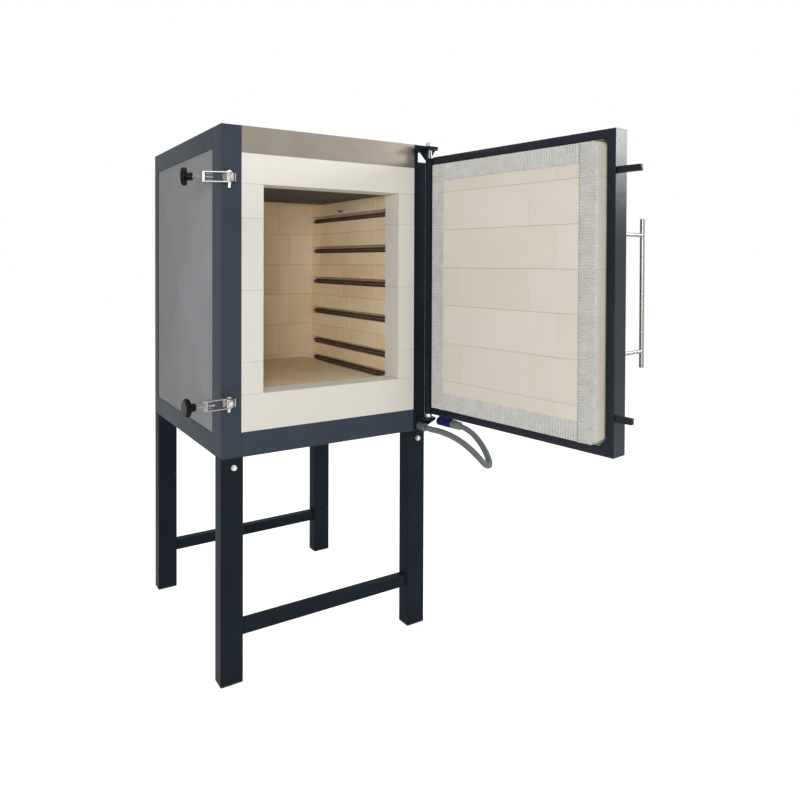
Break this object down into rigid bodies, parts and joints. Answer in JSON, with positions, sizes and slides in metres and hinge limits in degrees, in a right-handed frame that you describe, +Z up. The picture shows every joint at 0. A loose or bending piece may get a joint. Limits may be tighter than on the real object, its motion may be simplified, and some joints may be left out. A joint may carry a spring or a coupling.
{
  "type": "electric kiln",
  "caption": "Front-loading electric kiln on a legged stand: brick-lined chamber with side heating coils, brick-plugged side-hinged door, screw clamps and a corrugated conduit to the door.",
  "frame": {"origin": "the stand's front left outer corner on the floor", "axes": "+X to the kiln's right as seen from its front, +Y towards its back, +Z up; the door opens towards -Y"},
  "size_m": [1.0246, 1.4762, 1.546],
  "materials": {
    "frame_paint": "satin",
    "panel_paint": "satin",
    "stainless": "satin",
    "zinc": "satin",
    "bright_pin": "polished",
    "handle_steel": "satin",
    "black_plastic": "satin",
    "foot_plastic": "matte",
    "firebrick": "matte",
    "chamber_brick": "matte",
    "door_brick": "matte",
    "kiln_plate": "matte",
    "roof_plate": "matte",
    "board": "matte",
    "fibre": "matte",
    "element": "matte",
    "tube_ceramic": "matte",
    "conduit_plastic": "satin",
    "connector_plastic": "satin",
    "fitting": "satin"
  },
  "bodies": {
    "kiln_body": {"base_frame": "frame_paint", "base_sheet": "panel_paint", "cable_gland": "foot_plastic", "clamp_bases": "frame_paint", "clamp_pins": "bright_pin", "collar_bricks": "firebrick", "conduit": "conduit_plastic", "conduit_gland": "fitting", "element_tubes": "tube_ceramic", "floor_bricks": "chamber_brick", "floor_plate": "kiln_plate", "foot_caps": "foot_plastic", "heating_coils": "element", "hinge_bracket_bottom": "frame_paint", "hinge_bracket_top": "frame_paint", "hinge_nut_and_collar": "zinc", "hinge_pin": "zinc", "insulation_floor": "board", "insulation_rear": "board", "insulation_roof": "board", "insulation_sides": "board", "left_wall_bricks": "chamber_brick", "leg_bolts": "zinc", "leg_front_left": "frame_paint", "leg_front_right": "frame_paint", "leg_rear_left": "frame_paint", "leg_rear_right": "frame_paint", "lintel_cover": "stainless", "post_front_left": "frame_paint", "post_front_right": "frame_paint", "rear_panel": "panel_paint", "rear_posts": "frame_paint", "rear_wall_bricks": "chamber_brick", "right_wall_bricks": "chamber_brick", "roof_bricks": "chamber_brick", "roof_plate": "roof_plate", "side_panel_left": "panel_paint", "side_panel_right": "panel_paint", "stand_rail_front": "frame_paint", "stand_rail_rear": "frame_paint", "terminal_blocks": "tube_ceramic", "terminal_cover": "panel_paint", "thermocouple": "tube_ceramic", "top_cover": "panel_paint"},
    "door": {"hinge_tube": "frame_paint", "door_frame": "frame_paint", "door_panel": "panel_paint", "door_insulation": "board", "door_bricks": "door_brick", "door_seal": "fibre", "door_catches": "zinc", "handle_bar": "handle_steel", "handle_posts": "handle_steel", "conduit_connector": "connector_plastic"},
    "stirrup_upper": {"stirrup_upper": "zinc"},
    "stirrup_lower": {"stirrup_lower": "zinc"},
    "spindle_upper": {"spindle_upper": "zinc"},
    "spindle_lower": {"spindle_lower": "zinc"},
    "knob_upper": {"knob_upper": "black_plastic"},
    "knob_lower": {"knob_lower": "black_plastic"}
  },
  "joints": [
    {"name": "door_swing", "type": "hinge", "parent": "kiln_body", "child": "door", "pos_m": [0.6745, -0.0363, 1.1], "axis": [0, 0, 1], "range_deg": [-98, 82], "deforming": ["conduit"]},
    {"name": "stirrup_swing_upper", "type": "hinge", "parent": "kiln_body", "child": "stirrup_upper", "pos_m": [0.0165, -0.0185, 1.3955], "axis": [0, 0, 1], "range_deg": [0, 115]},
    {"name": "spindle_slide_upper", "type": "slide", "parent": "stirrup_upper", "child": "spindle_upper", "axis": [0.9063, -0.4226, 0], "range_m": [-0.0155, 0.0108]},
    {"name": "knob_spin_upper", "type": "hinge", "parent": "spindle_upper", "child": "knob_upper", "pos_m": [-0.09044, 0.03137, 1.3955], "axis": [0.9063, -0.4226, 0], "range_deg": [-3168, 2200]},
    {"name": "stirrup_swing_lower", "type": "hinge", "parent": "kiln_body", "child": "stirrup_lower", "pos_m": [0.0165, -0.0185, 0.7845], "axis": [0, 0, 1], "range_deg": [-29, 86]},
    {"name": "spindle_slide_lower", "type": "slide", "parent": "stirrup_lower", "child": "spindle_lower", "axis": [0.9976, 0.0698, 0], "range_m": [-0.0155, 0.0108]},
    {"name": "knob_spin_lower", "type": "hinge", "parent": "spindle_lower", "child": "knob_lower", "pos_m": [-0.10121, -0.02673, 0.7845], "axis": [0.9976, 0.0698, 0], "range_deg": [-3168, 2200]}
  ],
  "couplings": [
    {"joint": "spindle_slide_upper", "follows": "knob_spin_upper", "m_per_rad": 0.00027852},
    {"joint": "spindle_slide_lower", "follows": "knob_spin_lower", "m_per_rad": 0.00027852}
  ]
}
